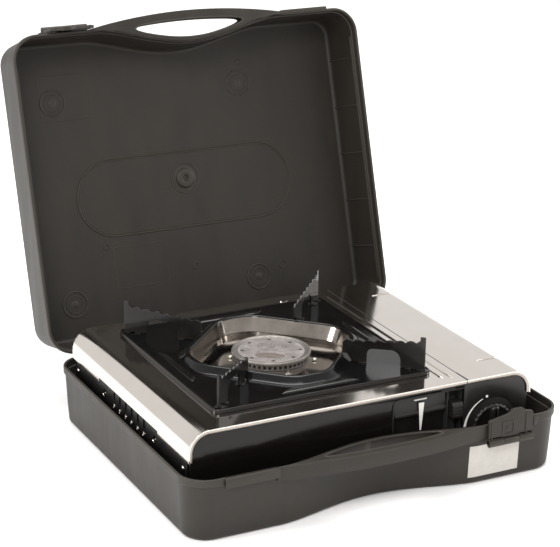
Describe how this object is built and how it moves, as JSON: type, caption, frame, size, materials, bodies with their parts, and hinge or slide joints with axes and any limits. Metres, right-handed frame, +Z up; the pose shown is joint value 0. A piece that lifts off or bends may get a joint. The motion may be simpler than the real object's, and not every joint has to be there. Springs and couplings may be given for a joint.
{
  "type": "camping stove",
  "caption": "Flat single-burner gas stove with steel top, pan support and side gas bay, sitting in a plastic carrying case with the lid open.",
  "frame": {"origin": "middle of the case's underside, on the surface it stands on", "axes": "+X to the right seen from the front, +Y to the back where the lid is hinged, +Z up"},
  "size_m": [0.3794, 0.479, 0.3674],
  "materials": {
    "case_plastic": "satin moulded plastic",
    "pin_steel": "plain drawn wire",
    "paper": "matt paper",
    "polished_steel": "polished stainless sheet",
    "black_steel": "black painted sheet",
    "panel_plastic": "high gloss",
    "control_plastic": "satin moulded plastic",
    "rubber": "matt",
    "cast_metal": "as cast",
    "zinc_steel": "zinc plated",
    "brass": "turned",
    "wire_cover": "silicone sleeve",
    "ceramic": "glazed ceramic",
    "burner_metal": "satin pressed",
    "enamel": "glossy black enamel"
  },
  "bodies": {
    "case": {"case_bottom": "case_plastic", "bottom_latch_pin": "pin_steel", "case_hinge_pin_left": "pin_steel", "case_hinge_pin_right": "pin_steel", "paper_label": "paper"},
    "lid": {"case_lid": "case_plastic", "lid_latch_pin": "pin_steel"},
    "bottom_latch": {"bottom_latch": "case_plastic"},
    "lid_latch": {"lid_latch": "case_plastic"},
    "stove": {"steel_shell": "polished_steel", "base_tray": "black_steel", "front_panel": "panel_plastic", "back_panel": "black_steel", "control_bezel": "control_plastic", "bay_partition": "black_steel", "canister_cradle": "black_steel", "cover_hinge_pin": "pin_steel", "side_rivet_front": "polished_steel", "side_rivet_back": "polished_steel", "foot_front_left": "rubber", "foot_front_right": "rubber", "foot_back_left": "rubber", "foot_back_right": "rubber", "regulator_body": "cast_metal", "canister_nozzle": "brass", "piezo_igniter": "control_plastic", "igniter_wire": "wire_cover", "electrode_insulator": "ceramic", "spark_electrode": "pin_steel", "burner_cap": "burner_metal", "burner_ring": "cast_metal", "burner_base": "cast_metal", "mixing_tube": "cast_metal", "gas_jet": "brass", "gas_pipe": "cast_metal"},
    "support": {"support_plate": "enamel", "support_fin_front_left": "enamel", "support_fin_front_right": "enamel", "support_fin_back_left": "enamel", "support_fin_back_right": "enamel"},
    "cover": {"canister_cover": "polished_steel"},
    "lever": {"lock_lever": "control_plastic"},
    "pusher": {"canister_pusher": "zinc_steel"},
    "knob": {"control_knob": "control_plastic", "valve_stem": "brass"}
  },
  "joints": [
    {"name": "lid_hinge", "type": "hinge", "parent": "case", "child": "lid", "pos_m": [0, 0.1604, 0.05495], "axis": [-1, 0, 0], "range_deg": [-92.5, 0]},
    {"name": "bottom_latch_hinge", "type": "hinge", "parent": "case", "child": "bottom_latch", "pos_m": [0.1275, -0.161, 0.0412], "axis": [1, 0, 0], "range_deg": [0, 110]},
    {"name": "lid_latch_hinge", "type": "hinge", "parent": "lid", "child": "lid_latch", "pos_m": [-0.1275, 0.27555, 0.35583], "axis": [-1, 0, 0], "range_deg": [0, 110]},
    {"name": "stove_lift", "type": "slide", "parent": "case", "child": "stove", "axis": [0, 0, 1], "range_m": [0, 0.15]},
    {"name": "support_lift", "type": "slide", "parent": "stove", "child": "support", "axis": [0, 0, 1], "range_m": [0, 0.06]},
    {"name": "cover_hinge", "type": "hinge", "parent": "stove", "child": "cover", "pos_m": [0.1586, 0.0005, 0.068], "axis": [0, 1, 0], "range_deg": [0, 68]},
    {"name": "lever_slide", "type": "slide", "parent": "stove", "child": "lever", "axis": [0, 0, -1], "range_m": [0, 0.022]},
    {"name": "pusher_slide", "type": "slide", "parent": "stove", "child": "pusher", "axis": [0, -1, 0], "range_m": [0, 0.006]},
    {"name": "knob_turn", "type": "hinge", "parent": "stove", "child": "knob", "pos_m": [0.126, -0.13, 0.045], "axis": [0, -1, 0], "range_deg": [0, 130]}
  ],
  "couplings": [
    {"joint": "pusher_slide", "follows": "lever_slide", "ratio": 0.27273}
  ]
}
